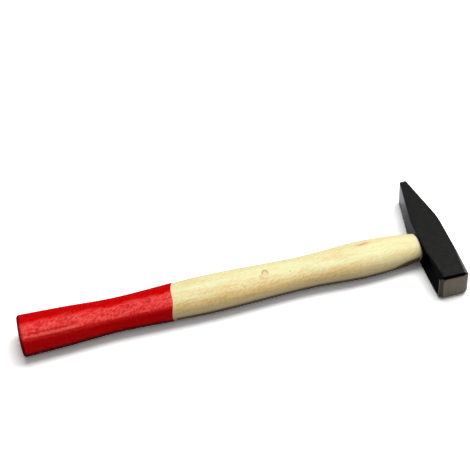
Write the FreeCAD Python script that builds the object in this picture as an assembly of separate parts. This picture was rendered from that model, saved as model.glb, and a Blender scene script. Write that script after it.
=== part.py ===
import FreeCAD, Part
import math
import os

from FreeCAD import Vector

# Fitter's hammer with a forged head, an ash handle wedged into its eye, and a dipped grip.
# All lengths are in millimetres and all angles in degrees.
#
# The pieces are drawn with the centre of the eye at the origin.  The handle runs towards -X,
# the pein points along +Y, the striking face looks along -Y, and the cheeks look up and down.
# At the end the whole hammer is laid down on its cheek and its butt, and the origin moves to
# the middle of the ground that it covers.

# Head
head_width = 19.0
face_reach = 40.8
pein_reach = 54.2
pein_taper_start = 14.4
pein_edge_thickness = 4.7
pein_edge_offset = 0.4
pein_edge_radius = 1.2
taper_knee_radius = 60.0
cheek_edge_radius = 1.0
corner_chamfer_start = 8.2
corner_chamfer_on_cheek = 2.8
corner_chamfer_on_side = 2.3
face_bevel = 1.9

# Eye, an oval waist that opens towards both mouths
eye_waist_height = 17.2
eye_waist_width = 9.8
eye_mouth_height = 18.4
eye_mouth_width = 11.0

# Handle, from its shoulder against the head to the butt
overall_length = 280.0
neck_height, neck_thickness = 19.2, 15.6
throat_height, throat_thickness = 25.0, 18.6
front_belly_height, front_belly_thickness = 27.2, 19.5
front_waist_height, front_waist_thickness = 23.5, 18.1
rear_belly_height, rear_belly_thickness = 27.1, 20.8
rear_waist_height, rear_waist_thickness = 23.1, 18.1
grip_height, grip_thickness = 26.3, 20.6
butt_height, butt_thickness = 28.4, 22.2
shoulder_chamfer = 0.9
butt_edge_radius = 1.6

# Where each of those sections stands, as a share of the handle's length outside the head
neck_share = 0.0
throat_share = 0.072
front_belly_share = 0.148
front_waist_share = 0.292
rear_belly_share = 0.539
rear_waist_share = 0.767
grip_share = 0.888
butt_share = 1.0

# Radius at the ends of the oval sections, as a share of half their width
handle_end_radius_share = 0.92
eye_end_radius_share = 0.97

# How finely the handle's curve and the rounding of its butt are followed
spans_on_handle = 26
spans_on_butt_edge = 4

# Dip coat on the grip, whose edge leans and wanders a little
coat_thickness = 0.3
coat_length = 97.4
dip_line_lean = 4.0
dip_line_wander = 0.9

# The dip line from one edge of the handle to the other: place as a share of the handle's
# half height, and wandering as a share of its greatest
dip_line_shares = [
    (-1.4, 0.0), (-0.97, -1.0), (-0.7, 0.2), (-0.4, 0.15), (0.18, -0.5), (0.63, 0.2), (1.4, 0.0)]

# Timber wedge along the eye, and two steel wedges across it
timber_wedge_depth = 13.0
timber_wedge_head = 2.6
timber_wedge_edge = 0.6
steel_wedge_depth = 9.0
steel_wedge_width = 7.2
steel_wedge_head = 2.0
steel_wedge_edge = 0.5
steel_wedge_spacing = 8.4

# How far each cutting tool runs past what it cuts
overrun = 5.0

# Places that follow from the sizes above
side = head_width / 2
shoulder = -side
butt_end = side - overall_length
handle_run = shoulder - butt_end


def oval(height, width, x, end_share):
    """Closed oval across the X axis: two tight arcs at its ends and two flat ones between."""
    end_radius = end_share * width / 2
    end_centre = height / 2 - end_radius
    spare = width / 2 - end_radius
    lean = math.atan2(end_centre ** 2 - spare ** 2, 2 * spare * end_centre)
    y = end_centre + end_radius * math.cos(lean)
    z = end_radius * math.sin(lean)
    joints = [Vector(x, y, -z), Vector(x, y, z), Vector(x, -y, z), Vector(x, -y, -z)]
    crests = [
        Vector(x, height / 2, 0), Vector(x, 0, width / 2),
        Vector(x, -height / 2, 0), Vector(x, 0, -width / 2)]
    arcs = []
    for start, crest, end in zip(joints, crests, joints[1:] + joints[:1]):
        arcs.append(Part.Arc(start, crest, end).toShape())
    return Part.Wire(arcs)


def loft(outlines):
    """Solid through closed outlines, straight from each one to the next."""
    return Part.makeLoft(outlines, True, True)


def flat_outline(points):
    return Part.Face(Part.makePolygon(points + points[:1]))


def edges_where(shape, test):
    return [edge for edge in shape.Edges if test(edge)]


def block_beyond(point, normal, size):
    """Block of a given size that stands on a plane, on the side that its normal points to."""
    plate = Part.makePlane(2 * size, 2 * size, Vector(-size, -size, 0))
    plate.Placement = FreeCAD.Placement(point, FreeCAD.Rotation(Vector(0, 0, 1), normal))
    return plate.extrude(normal.normalize() * size)


# Head
def head_blank():
    """Side outline of the forging, extruded from cheek to cheek."""
    inner_tip = -pein_edge_offset - pein_edge_thickness / 2
    outer_tip = inner_tip + pein_edge_thickness
    corners = [
        (-side, -face_reach), (side, -face_reach), (side, pein_taper_start),
        (outer_tip, pein_reach), (inner_tip, pein_reach), (-side, pein_taper_start)]
    outline = flat_outline([Vector(x, y, -side) for x, y in corners])
    blank = outline.extrude(Vector(0, 0, head_width))

    def upright_at(edge, y):
        start, end = (vertex.Point for vertex in edge.Vertexes)
        return math.isclose(start.y, y) and math.isclose(end.y, y) and abs(end.z - start.z) > side

    knees = edges_where(blank, lambda edge: upright_at(edge, pein_taper_start))
    blank = blank.makeFillet(taper_knee_radius, knees)
    tips = edges_where(blank, lambda edge: upright_at(edge, pein_reach))
    return blank.makeFillet(pein_edge_radius, tips)


def round_cheek_edges(blank):
    """Breaks the long edges of both cheeks, all but the ones at the striking face."""
    def on_cheek(edge):
        box = edge.BoundBox
        return box.ZLength < cheek_edge_radius and box.YMax > -face_reach + cheek_edge_radius

    return blank.makeFillet(cheek_edge_radius, edges_where(blank, on_cheek))


def chamfer_corners(blank):
    """Four long chamfers that start beside the eye and widen towards the face."""
    for x in (-side, side):
        for z in (-side, side):
            start = Vector(x, -corner_chamfer_start, z)
            on_cheek = Vector(x - math.copysign(corner_chamfer_on_cheek, x), -face_reach, z)
            on_side = Vector(x, -face_reach, z - math.copysign(corner_chamfer_on_side, z))
            normal = (on_cheek - start).cross(on_side - start)
            outward = math.copysign(1, normal.dot(Vector(x, 0, z)))
            blank = blank.cut(block_beyond(start, normal * outward, face_reach))
    return blank


def bevel_face(blank):
    rim = edges_where(blank, lambda edge: edge.BoundBox.YMax < -face_reach + face_bevel)
    return blank.makeChamfer(face_bevel, rim)


def eye_core():
    """What fills the eye from mouth to mouth."""
    return loft([
        oval(eye_mouth_height, eye_mouth_width, -side, eye_end_radius_share),
        oval(eye_waist_height, eye_waist_width, 0, eye_end_radius_share),
        oval(eye_mouth_height, eye_mouth_width, side, eye_end_radius_share)])


def hammer_head():
    return bevel_face(chamfer_corners(round_cheek_edges(head_blank()))).cut(eye_core())


# Handle
handle_sections = [
    (neck_share, neck_height, neck_thickness),
    (throat_share, throat_height, throat_thickness),
    (front_belly_share, front_belly_height, front_belly_thickness),
    (front_waist_share, front_waist_height, front_waist_thickness),
    (rear_belly_share, rear_belly_height, rear_belly_thickness),
    (rear_waist_share, rear_waist_height, rear_waist_thickness),
    (grip_share, grip_height, grip_thickness),
    (butt_share, butt_height, butt_thickness)]


def smooth_size(share, sizes):
    """Size at a place along the handle, on a curve that is level at each belly and waist."""
    places = [section[0] for section in handle_sections]
    rises = []
    for i in range(len(places) - 1):
        rises.append((sizes[i + 1] - sizes[i]) / (places[i + 1] - places[i]))
    slopes = []
    for before, after in zip(rises, rises[1:]):
        turns = before * after <= 0
        slopes.append(0 if turns else 2 * before * after / (before + after))
    slopes.insert(0, (3 * rises[0] - slopes[0]) / 2)
    slopes.append((3 * rises[-1] - slopes[-1]) / 2)

    i = 0
    while i < len(rises) - 1 and share > places[i + 1]:
        i += 1
    gap = places[i + 1] - places[i]
    u = (share - places[i]) / gap
    eased = sizes[i] + u * u * (3 - 2 * u) * (sizes[i + 1] - sizes[i])
    return eased + gap * u * (1 - u) * ((1 - u) * slopes[i] - u * slopes[i + 1])


def handle_body(skin):
    """Double-curved handle outside the head, thicker all round by a skin."""
    heights = [height for share, height, thickness in handle_sections]
    thicknesses = [thickness for share, height, thickness in handle_sections]
    start = shoulder - shoulder_chamfer
    end = butt_end + butt_edge_radius
    rounding = butt_edge_radius + skin

    rings = [(shoulder, skin - shoulder_chamfer)]
    for step in range(spans_on_handle + 1):
        rings.append((start + (end - start) * step / spans_on_handle, skin))
    for step in range(1, spans_on_butt_edge + 1):
        turn = math.pi / 2 * step / spans_on_butt_edge
        rings.append((end - rounding * math.sin(turn), skin - rounding * (1 - math.cos(turn))))

    outlines = []
    for x, margin in rings:
        share = (shoulder - x) / handle_run
        height = smooth_size(share, heights) + 2 * margin
        thickness = smooth_size(share, thicknesses) + 2 * margin
        outlines.append(oval(height, thickness, x, handle_end_radius_share))
    return loft(outlines)


def handle():
    """Handle with the tenon that fills the eye, slotted for its wedges."""
    slots = [timber_wedge_block()] + [steel_wedge(place) for place in (-1, 1)]
    return handle_body(0).fuse(eye_core()).cut(slots)


# Dip coat
def grip_coat():
    """Skin over the rear of the handle, as far as the wavy line that the dip reached."""
    half_height = rear_belly_height / 2
    dip_line = Part.BSplineCurve()
    dip_line.interpolate([
        Vector(
            butt_end + coat_length + place * dip_line_lean / 2 + wander * dip_line_wander,
            place * half_height)
        for place, wander in dip_line_shares])
    near = dip_line.StartPoint
    far = dip_line.EndPoint
    behind = butt_end - coat_thickness - overrun
    outline = Part.Face(Part.Wire([
        dip_line.toShape(),
        Part.makeLine(far, Vector(behind, far.y)),
        Part.makeLine(Vector(behind, far.y), Vector(behind, near.y)),
        Part.makeLine(Vector(behind, near.y), near)]))
    outline.translate(Vector(0, 0, -butt_height))
    dipped = outline.extrude(Vector(0, 0, 2 * butt_height))
    return handle_body(coat_thickness).common(dipped).cut(handle_body(0))


# Wedges
def wedge_outline(across, middle, head, edge, depth):
    """Tapered outline of a wedge that is driven in from the outer side of the head."""
    tip = side - depth
    corners = [(side, head / 2), (side, -head / 2), (tip, -edge / 2), (tip, edge / 2)]
    return flat_outline([Vector(x, 0, 0) + across * (middle + half) for x, half in corners])


def timber_wedge_block():
    """Timber wedge before its ends are trimmed to the eye."""
    outline = wedge_outline(
        Vector(0, 0, 1), 0, timber_wedge_head, timber_wedge_edge, timber_wedge_depth)
    outline.translate(Vector(0, -eye_mouth_height, 0))
    return outline.extrude(Vector(0, 2 * eye_mouth_height, 0))


def steel_wedge(place):
    """One steel wedge: place -1 is nearer the striking face, and 1 is nearer the pein."""
    outline = wedge_outline(
        Vector(0, 1, 0), place * steel_wedge_spacing / 2,
        steel_wedge_head, steel_wedge_edge, steel_wedge_depth)
    outline.translate(Vector(0, 0, -steel_wedge_width / 2))
    return outline.extrude(Vector(0, 0, steel_wedge_width))


def timber_wedge():
    trimmed = timber_wedge_block().common(eye_core())
    return trimmed.cut([steel_wedge(place) for place in (-1, 1)])


# The hammer at rest
def laid_down(pieces):
    """Tips the hammer until its butt and the outer edge of its cheek touch the ground."""
    head_touches = Vector(side - cheek_edge_radius, 0, -side)
    butt_touches = Vector(
        butt_end + butt_edge_radius, 0, -butt_thickness / 2 - coat_thickness)
    rise = head_touches - butt_touches
    tip_angle = math.degrees(math.atan2(rise.z, rise.x))
    for piece in pieces.values():
        piece.rotate(Vector(0, 0, 0), Vector(0, 1, 0), tip_angle)
    ground = Part.makeCompound(list(pieces.values())).optimalBoundingBox(False, False)
    to_origin = Vector(-ground.Center.x, -ground.Center.y, -ground.ZMin)
    for piece in pieces.values():
        piece.translate(to_origin)
    print("tipped by", tip_angle, "and moved by", to_origin)
    return pieces


hammer = laid_down({
    "hammer_head": hammer_head(),
    "handle": handle(),
    "timber_wedge": timber_wedge(),
    "steel_wedge_face_side": steel_wedge(-1),
    "steel_wedge_pein_side": steel_wedge(1),
    "grip_coat": grip_coat()})

os.makedirs("parts", exist_ok=True)
for name, piece in hammer.items():
    print(name, "solids", len(piece.Solids), "volume", round(piece.Volume), "valid", piece.isValid())
    piece.exportStep(f"parts/{name}.step")
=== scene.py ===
import math

import bpy
from mathutils import Matrix, Vector


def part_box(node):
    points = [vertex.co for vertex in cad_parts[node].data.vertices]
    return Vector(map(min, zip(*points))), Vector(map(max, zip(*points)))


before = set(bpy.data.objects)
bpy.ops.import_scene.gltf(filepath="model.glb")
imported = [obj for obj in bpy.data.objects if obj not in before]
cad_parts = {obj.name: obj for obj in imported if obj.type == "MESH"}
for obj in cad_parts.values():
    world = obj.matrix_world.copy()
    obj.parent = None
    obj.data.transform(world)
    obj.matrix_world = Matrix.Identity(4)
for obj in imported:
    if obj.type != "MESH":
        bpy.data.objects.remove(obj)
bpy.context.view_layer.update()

# A fitter's hammer lying on a white table under one soft overhead light
# Sizes are in metres, or in millimetres where a name ends in _mm or _MM
# +X runs from the butt to the head, +Y to the pein, and +Z up

# Millimetres in a metre
MM = 1000

# Where the head's sides and the butt's end are, from the CAD pieces
head_low, head_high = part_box("hammer_head")
handle_side_mm = head_low.x * MM
face_mm = head_low.y * MM
upper_cheek_mm = head_high.z * MM
butt_end_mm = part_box("grip_coat")[0].x * MM

# Width of the bevel round the striking face
FACE_BEVEL_MM = 1.9

# Where the coat ends at Y 0, and how much further for each millimetre of Y
DIP_LINE_MM = -41.5
DIP_LINE_SLOPE = 0.148

# X and Y of marks on the handle and its coat, and the radii of the knots under the coat
KNOT_MM = (18.0, -8.5)
BESIDE_KNOT_MM = (KNOT_MM[0] - 3.0, KNOT_MM[1] - 2.4)
STREAK_MM = (85.0, -2.2)
SPECKS_MM = ((1.9, -13.6), (3.0, -14.8), (34.0, -10.9))
RIDGE_MM = (-120.0, -16.6)
ABOVE_RIDGE_MM = (RIDGE_MM[0], RIDGE_MM[1] + 1.7)
COATED_KNOTS_MM = (((-108.3, -9.2), 1.9), ((-58.0, -9.6), 1.3))

# How bright the lit board is to the camera, where 1 is white, so that only the darker part of
# the hammer's shadow greys it
BOARD_BRIGHTNESS = 1.65

# How far from the hammer the board starts to turn plain white, and where it has turned
WHITE_BOARD_MM = (350.0, 900.0)

# Reflections see a pale wall that fades out between these heights above the table's edge
PALE_WALL_DEGREES = (7, 12)


def linear(hex_colour):
    """Linear colour of an sRGB hex value such as "#C8A878"."""
    shares = [int(hex_colour[start:start + 2], 16) / 255 for start in (1, 3, 5)]
    return [
        share / 12.92 if share <= 0.04045 else ((share + 0.055) / 1.055) ** 2.4
        for share in shares] + [1.0]


# What the finishes are made of
def add_node(material, kind, settings):
    """Adds a node to a material or to the world. Each setting is an option by its name, or an
    input by its name or number. An input gets a value, or a link from another node's output."""
    tree = material.node_tree
    node = tree.nodes.new(kind)
    for name, value in settings.items():
        if isinstance(value, bpy.types.NodeSocket):
            tree.links.new(value, node.inputs[name])
        elif isinstance(name, int) or name in node.inputs:
            node.inputs[name].default_value = value
        else:
            setattr(node, name, value)
    return node


def new_material(name):
    """Empty node material, and the surface coordinates in millimetres."""
    material = bpy.data.materials.new(name)
    material.use_nodes = True
    material.node_tree.nodes.clear()
    place = add_node(material, "ShaderNodeTexCoord", {}).outputs["Object"]
    in_mm = add_node(
        material, "ShaderNodeVectorMath", {"operation": "MULTIPLY", 0: place, 1: (MM, MM, MM)})
    return material, in_mm.outputs[0]


def facing(material):
    """How far the surface faces the head, the pein and upwards, each from -1 to 1."""
    outward = add_node(material, "ShaderNodeTexCoord", {}).outputs["Normal"]
    return add_node(material, "ShaderNodeSeparateXYZ", {0: outward}).outputs


def looked_at(material):
    """1 where a reflection or something clear looks at it, and 1 where the camera does."""
    ray = add_node(material, "ShaderNodeLightPath", {}).outputs
    reflected = add_node(
        material, "ShaderNodeMath",
        {"operation": "MAXIMUM", 0: ray["Is Glossy Ray"], 1: ray["Is Transmission Ray"]})
    return reflected.outputs[0], ray["Is Camera Ray"]


def stretched_noise(material, in_mm, grain_size_mm, detail=2.0, roughness=0.5, turn_degrees=0.0):
    """Noise from 0 to 1 whose lumps have these sizes along X, Y and Z, turned about Z."""
    scaled = add_node(
        material, "ShaderNodeMapping",
        {"vector_type": "TEXTURE", "Vector": in_mm, "Scale": grain_size_mm,
         "Rotation": (0, 0, math.radians(turn_degrees))})
    noise = add_node(
        material, "ShaderNodeTexNoise",
        {"Vector": scaled.outputs[0], "Scale": 1.0, "Detail": detail, "Roughness": roughness})
    return noise.outputs[0]


def product(material, *terms):
    """Its terms multiplied. A term is an output or a number, or an output with the two values
    between which it is eased from 0 to 1, or from a third number to a fourth."""
    result = None
    for term in terms:
        if isinstance(term, tuple):
            value, start, end, *ends = term
            at_start, at_end = ends or (0.0, 1.0)
            term = add_node(
                material, "ShaderNodeMapRange",
                {"interpolation_type": "SMOOTHSTEP", "Value": value, "From Min": start,
                 "From Max": end, "To Min": at_start, "To Max": at_end}).outputs[0]
        result = term if result is None else add_node(
            material, "ShaderNodeMath", {"operation": "MULTIPLY", 0: result, 1: term}).outputs[0]
    return result


def plus_shares(material, value, *parts):
    """A value plus shares of others, each given as the share and the output."""
    for share, part in parts:
        value = add_node(
            material, "ShaderNodeMath",
            {"operation": "MULTIPLY_ADD", 0: part, 1: share, 2: value}).outputs[0]
    return value


def layered(material, colour, *layers):
    """Lays colours over a first one in turn. Each layer is its colour, and the terms whose
    product says how much of it shows."""
    for over, *terms in layers:
        below, above = [
            linear(paint) if isinstance(paint, str) else paint for paint in (colour, over)]
        colour = add_node(
            material, "ShaderNodeMix",
            {"data_type": "RGBA", 0: product(material, *terms), 6: below, 7: above}).outputs[2]
    return colour


def distance_in_plan(material, in_mm, centre_mm=(0, 0), stretch=(1, 1), turn_degrees=0.0):
    """Distance from a point, seen from above, along axes that are turned and then stretched."""
    offset = add_node(
        material, "ShaderNodeVectorMath",
        {"operation": "SUBTRACT", 0: in_mm, 1: (*centre_mm, 0)})
    turned = add_node(
        material, "ShaderNodeVectorRotate",
        {"rotation_type": "Z_AXIS", "Vector": offset.outputs[0],
         "Angle": math.radians(-turn_degrees)})
    scaled = add_node(
        material, "ShaderNodeVectorMath",
        {"operation": "MULTIPLY", 0: turned.outputs[0], 1: (*stretch, 0)})
    length = add_node(
        material, "ShaderNodeVectorMath", {"operation": "LENGTH", 0: scaled.outputs[0]})
    return length.outputs["Value"]


def ring_mark(material, in_mm, centre_mm, radius, width=1.0, squeeze=1.0):
    """1 on an upright ring round a point, squeezed along X, fading to 0 across its width."""
    away = distance_in_plan(material, in_mm, centre_mm, (squeeze, 1))
    return product(
        material, (away, radius - width, radius), (away, radius, radius + width, 1.0, 0.0))


def oval_mark(material, in_mm, centre_mm, half_length, half_width, turn_degrees=0.0):
    """1 inside an upright oval and 0 outside, soft at its edge."""
    away = distance_in_plan(
        material, in_mm, centre_mm, (1 / half_length, 1 / half_width), turn_degrees)
    return product(material, (away, 0.4, 1.0, 1.0, 0.0))


# Finishes
def sanded_ash():
    """Pale ash, turned, sanded and waxed: straight faint grain, a small knot and a soft sheen,
    with painted shade on the near flank and underneath.
    """
    material, in_mm = new_material("sanded_ash")
    along, across, _ = add_node(material, "ShaderNodeSeparateXYZ", {0: in_mm}).outputs
    _, peinward, upward = facing(material)

    # Growth rings are 2 to 4 mm wide and run the length of the handle as faint streaks
    rings = stretched_noise(material, in_mm, (80, 3.2, 3.2), 3.0, 0.6)
    # Fibres are 0.1 mm wide; drawn 0.8 mm wide and 18 mm long so that they show
    fibres = stretched_noise(material, in_mm, (18, 0.8, 0.8), 4.0, 0.65)
    # Short silky flecks, 1 mm wide, cross the fibres at a slant
    flecks = stretched_noise(material, in_mm, (3.2, 0.9, 1.2), 3.0, 0.6, 25.0)
    # Open pores are 0.2 mm wide; drawn 0.5 mm wide and 4 mm long
    pores = product(
        material, (stretched_noise(material, in_mm, (4, 0.5, 0.5), 1.0), 0.68, 0.76))
    # The wood's colour drifts in clouds, 5 mm wide and 20 mm long
    clouds = stretched_noise(material, in_mm, (20, 5, 5), 2.0)
    wood = layered(
        material, "#F9FAC8",
        ("#F7F3BC", (rings, 0.35, 0.65)),
        ("#FBE2AE", (clouds, 0.45, 0.75, 0.0, 0.3)),
        ("#E6D290", (fibres, 0.42, 0.75, 0.0, 0.27)),
        ("#EACB90", (flecks, 0.42, 0.7, 0.0, 0.16)))

    # Painted shade makes the near flank browner, with its own grain, less so towards the neck,
    # and lower down painted bounce light makes it paler and pinker
    shaded_flank = layered(
        material, "#FFD794",
        ("#DFB461", (plus_shares(material, fibres, (0.8, flecks)), 0.7, 1.1)))
    border = plus_shares(material, upward, (-0.45, clouds), (-0.3, flecks))
    wood = layered(
        material, wood,
        (shaded_flank, (border, 0.74, 0.32), (upward, 0.0, 0.4, 0.1, 0.75),
         (peinward, 0.1, 0.5, 1.0, 0.3), (along, 58.0, 98.0, 1.0, 0.55)),
        ("#FFE4B0", (upward, 0.3, -0.05, 0.0, 0.9)),
        ("#B9975C", (pores, 0.0, 1.0, 0.0, 0.35)))

    # Painted shade darkens the underside, and more so beside the head
    beside_head = product(material, (along, 98.0, 112.0))
    painted_underside_shade = plus_shares(material, upward, (-0.3, beside_head))
    wood = layered(material, wood, ("#463618", (painted_underside_shade, -0.03, -0.32, 0.0, 0.92)))

    # Knot, streak and specks where the handle has them
    knot = ring_mark(material, in_mm, KNOT_MM, 2.2, squeeze=1.3)
    knot_far_side = (across, KNOT_MM[1] - 1.6, KNOT_MM[1] + 0.2)
    specks = [oval_mark(material, in_mm, centre, 0.8, 0.8) for centre in SPECKS_MM]
    wood = layered(
        material, wood,
        ("#F3CC94", oval_mark(material, in_mm, KNOT_MM, 2.4, 3.0), 0.5),
        ("#B78F58", knot, knot_far_side, 0.8),
        ("#CFA56C", oval_mark(material, in_mm, BESIDE_KNOT_MM, 2.0, 2.4), 0.35),
        ("#F2C894", oval_mark(material, in_mm, STREAK_MM, 9.0, 3.0, 9), 0.45),
        ("#C49258", oval_mark(material, in_mm, STREAK_MM, 5.5, 0.9, 9), 0.7),
        *[("#9C7C4C", speck, 0.4) for speck in specks])

    # Fresh pale wood at the shoulder and in a strip beside the coat
    past_dip_line = plus_shares(material, along, (-DIP_LINE_SLOPE, across))
    wood = layered(
        material, wood,
        ("#F7DFC4", (along, handle_side_mm - 2.4, handle_side_mm - 1.2), 0.6),
        ("#FBD8AE", (past_dip_line, DIP_LINE_MM + 2.2, DIP_LINE_MM + 1.2, 0.0, 0.55)))

    relief = add_node(
        material, "ShaderNodeBump", {"Strength": 0.2, "Distance": 0.1 / MM, "Height": fibres})
    shader = add_node(
        material, "ShaderNodeBsdfPrincipled",
        {"Base Color": wood, "Normal": relief.outputs[0], "IOR": 1.45,
         "Specular IOR Level": 0.15, "Roughness": product(material, (fibres, 0.2, 0.8, 0.5, 0.62))})
    add_node(material, "ShaderNodeOutputMaterial", {"Surface": shader.outputs[0]})
    return material


def red_dip_lacquer():
    """Wood dipped in red lacquer: glossy and wrinkled, dull on the far side and underneath, with
    one run that dried as a ridge. A painted highlight lies along the crest, and painted shade
    deepens the red on the sides and underneath."""
    material, in_mm = new_material("red_dip_lacquer")
    along = add_node(material, "ShaderNodeSeparateXYZ", {0: in_mm}).outputs[0]
    headward, peinward, upward = facing(material)

    # The wood's grain stands out under the coat, drawn 0.9 mm wide so that it shows
    grain = stretched_noise(material, in_mm, (14, 0.9, 0.9), 3.0, 0.6)
    # Runs of lacquer are 3 mm wide, and wrinkles 1 mm wide cross them at a slant
    runs = stretched_noise(material, in_mm, (9, 3, 3), 2.0)
    wrinkles = stretched_noise(material, in_mm, (2.6, 0.9, 1.2), 2.5, 0.6, 35.0)
    ridge = oval_mark(material, in_mm, RIDGE_MM, 24.0, 1.2, 1.4)

    # A painted highlight lies along the crest in pale streaks and along the ridge, and small
    # knots of the wood show through the coat
    over_crest = plus_shares(material, peinward, (0.5, runs), (0.35, wrinkles))
    highlight_streaks = plus_shares(material, wrinkles, (0.35, runs))
    knots = [
        ring_mark(material, in_mm, centre, radius) for centre, radius in COATED_KNOTS_MM]
    red = layered(
        material, "#DE0407",
        ("#F0060A", (runs, 0.35, 0.65)),
        ("#FF645A", (over_crest, 0.46, 0.32), (upward, 0.7, 0.8), (highlight_streaks, 0.5, 0.92, 0.0, 0.85)),
        ("#FA5048", ridge, 0.7),
        *[("#B80406", knot, 0.65) for knot in knots])

    # Painted shade: a deeper red on the far side, on the near flank, above the ridge,
    # underneath, and round the butt's edge
    far_side = product(material, (over_crest, 0.37, 0.52))
    shaded_near_flank = layered(material, "#BE0204", ("#EA0308", (upward, 0.55, 0.0)))
    red = layered(
        material, red,
        ("#D20204", far_side),
        (shaded_near_flank, (upward, 0.8, 0.62)),
        ("#AE0305", oval_mark(material, in_mm, ABOVE_RIDGE_MM, 22.0, 0.9, 1.4), 0.7),
        ("#4A0102", (upward, -0.03, -0.32, 0.0, 0.9)),
        ("#3A0203", (along, butt_end_mm + 2.9, butt_end_mm + 1.0),
         (headward, -0.96, -0.75, 0.0, 0.85)))

    height = plus_shares(material, grain, (1.5, runs), (2.2, wrinkles), (1.6, ridge))
    relief = add_node(
        material, "ShaderNodeBump", {"Strength": 0.9, "Distance": 0.3 / MM, "Height": height})
    glossy = add_node(
        material, "ShaderNodeBsdfPrincipled",
        {"Base Color": red, "Normal": relief.outputs[0], "IOR": 1.5,
         "Specular IOR Level": 0.16, "Roughness": product(material, (grain, 0.3, 0.7, 0.16, 0.26))})
    dull = add_node(
        material, "ShaderNodeBsdfPrincipled",
        {"Base Color": red, "Normal": relief.outputs[0], "Roughness": 0.8,
         "Specular IOR Level": 0.0})
    dull_share = add_node(
        material, "ShaderNodeMath",
        {"operation": "MAXIMUM", 0: product(material, far_side, 0.92),
         1: product(material, (upward, 0.7, 0.5, 0.0, 0.8))})
    both = add_node(
        material, "ShaderNodeMixShader",
        {0: dull_share.outputs[0], 1: glossy.outputs[0], 2: dull.outputs[0]})
    add_node(material, "ShaderNodeOutputMaterial", {"Surface": both.outputs[0]})
    return material


def lacquered_forging():
    """Drop-forged steel in black stoving lacquer, smooth and glossy over faint marks of the
    forging scale, and ground bare at the striking face, with painted shade on the handle's side."""
    material, in_mm = new_material("lacquered_forging")
    _, along, height = add_node(material, "ShaderNodeSeparateXYZ", {0: in_mm}).outputs
    headward = facing(material)[0]

    # Scale left marks 3 mm wide, and the lacquer dried with an orange peel of 0.7 mm
    scale_marks = stretched_noise(material, in_mm, (3.0, 3.0, 3.0), 3.0)
    orange_peel = stretched_noise(material, in_mm, (0.7, 0.7, 0.7), 1.0)
    # Grinding lines are 0.1 mm wide; drawn 0.35 mm wide and 14 mm long so that they show
    grinding = stretched_noise(material, in_mm, (0.35, 1.0, 14), 3.0, 0.7)

    # The grinding took the lacquer off the face and its bevel, and on the handle's side a little
    # more, but left it on the upper bevel, dead matt
    behind_face = plus_shares(
        material, along, (-1.2, product(material, (headward, -0.8, -0.95))))
    bevel_back_mm = face_mm + FACE_BEVEL_MM
    ground_end = product(material, (behind_face, bevel_back_mm + 0.05, bevel_back_mm - 0.05))
    bevel_foot_mm = upper_cheek_mm - FACE_BEVEL_MM
    bare = product(material, ground_end, (height, bevel_foot_mm + 0.5, bevel_foot_mm + 0.3))

    peel = plus_shares(material, scale_marks, (0.25, orange_peel))
    lacquer_relief = add_node(
        material, "ShaderNodeBump", {"Strength": 0.12, "Distance": 0.08 / MM, "Height": peel})
    lacquer = add_node(
        material, "ShaderNodeBsdfPrincipled",
        {"Base Color": layered(material, "#0E0E0E", ("#121212", scale_marks)),
         "Normal": lacquer_relief.outputs[0], "IOR": 1.5,
         "Roughness": product(material, (scale_marks, 0.3, 0.7, 0.17, 0.22))})

    # Painted shade: on the handle's side the surface turns matt black without shine, most of all
    # near the face
    near_face = plus_shares(
        material, product(material, (along, -2.0, -8.0, 0.0, 0.36)),
        (1.0, product(material, (along, 38.0, 14.0, 0.15, 0.6))))
    matt_share = add_node(
        material, "ShaderNodeMath",
        {"operation": "MAXIMUM", 0: product(material, (headward, -0.78, -0.9), near_face),
         1: ground_end})
    matt = add_node(
        material, "ShaderNodeBsdfPrincipled",
        {"Base Color": linear("#050505"), "Roughness": 0.8, "Specular IOR Level": 0.0})
    skin = add_node(
        material, "ShaderNodeMixShader",
        {0: matt_share.outputs[0], 1: lacquer.outputs[0], 2: matt.outputs[0]})

    # Painted shade: the ground steel is darker on the bevel that faces the handle
    ground_relief = add_node(
        material, "ShaderNodeBump", {"Strength": 0.4, "Distance": 0.05 / MM, "Height": grinding})
    steel = layered(
        material, "#4C483F",
        ("#787264", grinding),
        ("#2C2922", (headward, -0.35, -0.6, 0.0, 0.8)))
    ground = add_node(
        material, "ShaderNodeBsdfPrincipled",
        {"Base Color": steel, "Metallic": 1.0, "Normal": ground_relief.outputs[0],
         "Roughness": product(material, (grinding, 0.3, 0.7, 0.3, 0.45))})
    both = add_node(
        material, "ShaderNodeMixShader", {0: bare, 1: skin.outputs[0], 2: ground.outputs[0]})
    add_node(material, "ShaderNodeOutputMaterial", {"Surface": both.outputs[0]})
    return material


def sawn_beech():
    """End of a beech wedge, sawn off flush: pinkish brown with fine dark flecks, and no shine."""
    material, in_mm = new_material("sawn_beech")
    # Torn fibres are 0.1 mm wide; drawn 0.35 mm wide. Flecks are 0.3 to 1.4 mm wide.
    fibres = stretched_noise(material, in_mm, (4, 0.35, 0.35), 3.0)
    flecks = stretched_noise(material, in_mm, (0.5, 1.4, 0.3), 1.0)
    wood = layered(
        material, "#B98A5E",
        ("#D0A67A", fibres),
        ("#8E6239", (flecks, 0.6, 0.7)))
    relief = add_node(
        material, "ShaderNodeBump", {"Strength": 0.4, "Distance": 0.1 / MM, "Height": fibres})
    shader = add_node(
        material, "ShaderNodeBsdfPrincipled",
        {"Base Color": wood, "Normal": relief.outputs[0], "Roughness": 0.7, "IOR": 1.45})
    add_node(material, "ShaderNodeOutputMaterial", {"Surface": shader.outputs[0]})
    return material


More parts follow.
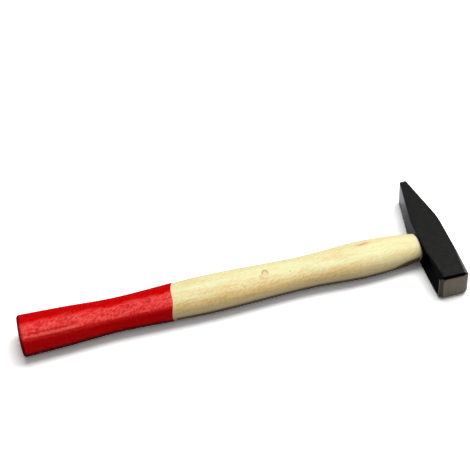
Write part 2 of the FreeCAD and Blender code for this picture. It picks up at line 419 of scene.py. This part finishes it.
def cut_steel():
    """Mild steel wedges, sheared and driven in: dull grey with scratches and hammer marks."""
    material, in_mm = new_material("cut_steel")
    # Scratches are 0.1 mm wide; drawn 0.25 mm wide and 5 mm long. Hammer marks are 1.5 mm wide.
    scratches = stretched_noise(material, in_mm, (1.0, 0.25, 5), 3.0, 0.7)
    dents = stretched_noise(material, in_mm, (1.5, 1.5, 1.5), 1.0)
    relief = add_node(
        material, "ShaderNodeBump",
        {"Strength": 0.5, "Distance": 0.1 / MM, "Height": product(material, scratches, dents)})
    shader = add_node(
        material, "ShaderNodeBsdfPrincipled",
        {"Base Color": layered(material, "#8E8B85", ("#B5B2AB", dents)), "Metallic": 1.0,
         "Normal": relief.outputs[0],
         "Roughness": product(material, (scratches, 0.3, 0.7, 0.35, 0.55))})
    add_node(material, "ShaderNodeOutputMaterial", {"Surface": shader.outputs[0]})
    return material


def white_table():
    """Matt white board: clear white in the picture and in reflections, greyed by the hammer's
    shadow and by specks of dust. It sends as little light back up as a grey one."""
    material, in_mm = new_material("white_table")
    dust = stretched_noise(material, in_mm, (2.5, 2.5, 2.5), 2.0)
    reflected, pictured = looked_at(material)
    colour = layered(
        material, "#727272",
        ("#F6F3FA", reflected),
        ([BOARD_BRIGHTNESS] * 3 + [1.0], pictured),
        ("#E8E6E4", dust, 0.04))
    board = add_node(material, "ShaderNodeBsdfDiffuse", {"Color": colour})

    # Clear of the hammer and its shadow, the table stays white out to the horizon
    away = distance_in_plan(material, in_mm)
    far_board = add_node(material, "ShaderNodeEmission", {"Color": linear("#FFFFFF")})
    both = add_node(
        material, "ShaderNodeMixShader",
        {0: product(material, pictured, (away, *WHITE_BOARD_MM)),
         1: board.outputs[0], 2: far_board.outputs[0]})
    add_node(material, "ShaderNodeOutputMaterial", {"Surface": both.outputs[0]})
    return material


def dress(node_name, material):
    """Gives a CAD piece its material."""
    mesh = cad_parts[node_name].data
    mesh.materials.clear()
    mesh.materials.append(material)


dress("hammer_head", lacquered_forging())
dress("handle", sanded_ash())
dress("grip_coat", red_dip_lacquer())
dress("timber_wedge", sawn_beech())
wedge_steel = cut_steel()
dress("steel_wedge_face_side", wedge_steel)
dress("steel_wedge_pein_side", wedge_steel)


# Studio
def put_in(name, data, place=(0, 0, 0), turn=Matrix.Identity(3)):
    """Puts a mesh, a lamp or a camera into the scene."""
    thing = bpy.data.objects.new(name, data)
    thing.location = place
    thing.rotation_euler = turn.to_euler()
    bpy.context.scene.collection.objects.link(thing)
    return thing


def turned_to(back, up):
    """Rotation of something that looks against a direction, with its top towards another."""
    right = up.cross(back).normalized()
    return Matrix((right, back.cross(right), back)).transposed()


def table_top(half_size):
    """Square board that the hammer lies on."""
    mesh = bpy.data.meshes.new("table_top")
    corners = [(-1, -1), (1, -1), (1, 1), (-1, 1)]
    mesh.from_pydata([(x * half_size, y * half_size, 0) for x, y in corners], [], [(0, 1, 2, 3)])
    mesh.materials.append(white_table())
    put_in("table_top", mesh)


def overhead_softbox(centre, size, brightness):
    """Rectangular white lamp facing the hammer, this bright across its whole face."""
    lamp = bpy.data.lights.new("overhead_softbox", "AREA")
    lamp.shape = "RECTANGLE"
    lamp.size, lamp.size_y = size
    lamp.energy = brightness * math.pi * size[0] * size[1]
    facing_down = turned_to(Vector(centre).normalized(), Vector((0, 1, 0)))
    put_in("overhead_softbox", lamp, centre, facing_down)


def room():
    """Grey room, darker at the back, on the left and low down. Reflections see a pale wall just
    above the table's edge, and the camera sees white everywhere."""
    world = bpy.data.worlds.new("room")
    world.use_nodes = True
    world.node_tree.nodes.clear()
    direction = add_node(world, "ShaderNodeTexCoord", {}).outputs["Generated"]
    rightward, backward, upward = add_node(
        world, "ShaderNodeSeparateXYZ", {0: direction}).outputs
    walls = layered(
        world, "#D6D5D4",
        ("#868582", (backward, -0.7, 0.8)),
        ("#101010", (rightward, 0.1, -0.6), 0.85),
        ("#101010", (upward, 0.3, 0.05), 0.65))

    reflected, pictured = looked_at(world)
    pale_up_to, pale_end = [math.sin(math.radians(height)) for height in PALE_WALL_DEGREES]
    white_share = add_node(
        world, "ShaderNodeMath",
        {"operation": "MAXIMUM", 0: product(world, (upward, pale_end, pale_up_to), reflected),
         1: pictured})
    colour = layered(world, walls, ("#FFFFFF", white_share.outputs[0]))
    background = add_node(world, "ShaderNodeBackground", {"Color": colour})
    add_node(world, "ShaderNodeOutputWorld", {"Surface": background.outputs[0]})
    bpy.context.scene.world = world


def camera(eye, target, tilt_degrees, lens):
    """Camera that looks from the eye to the target, tilted about its own line of sight."""
    view = bpy.data.cameras.new("camera")
    view.lens, view.sensor_width = lens, 36.0
    view.clip_start, view.clip_end = 0.01, 100.0
    upright = turned_to((Vector(eye) - Vector(target)).normalized(), Vector((0, 0, 1)))
    tilt = Matrix.Rotation(math.radians(tilt_degrees), 3, "Z")
    bpy.context.scene.camera = put_in("camera", view, eye, upright @ tilt)


table_top(half_size=12.0)
overhead_softbox(centre=(0.38, 0.2, 1.13), size=(1.25, 0.78), brightness=4.24)
room()

# Fitted to the photograph
camera(
    eye=(-0.089039, -0.510107, 0.548575), target=(0.011944, 0.051306, 0.0),
    tilt_degrees=-5.517, lens=88.93)

bpy.context.scene.view_settings.view_transform = "Standard"
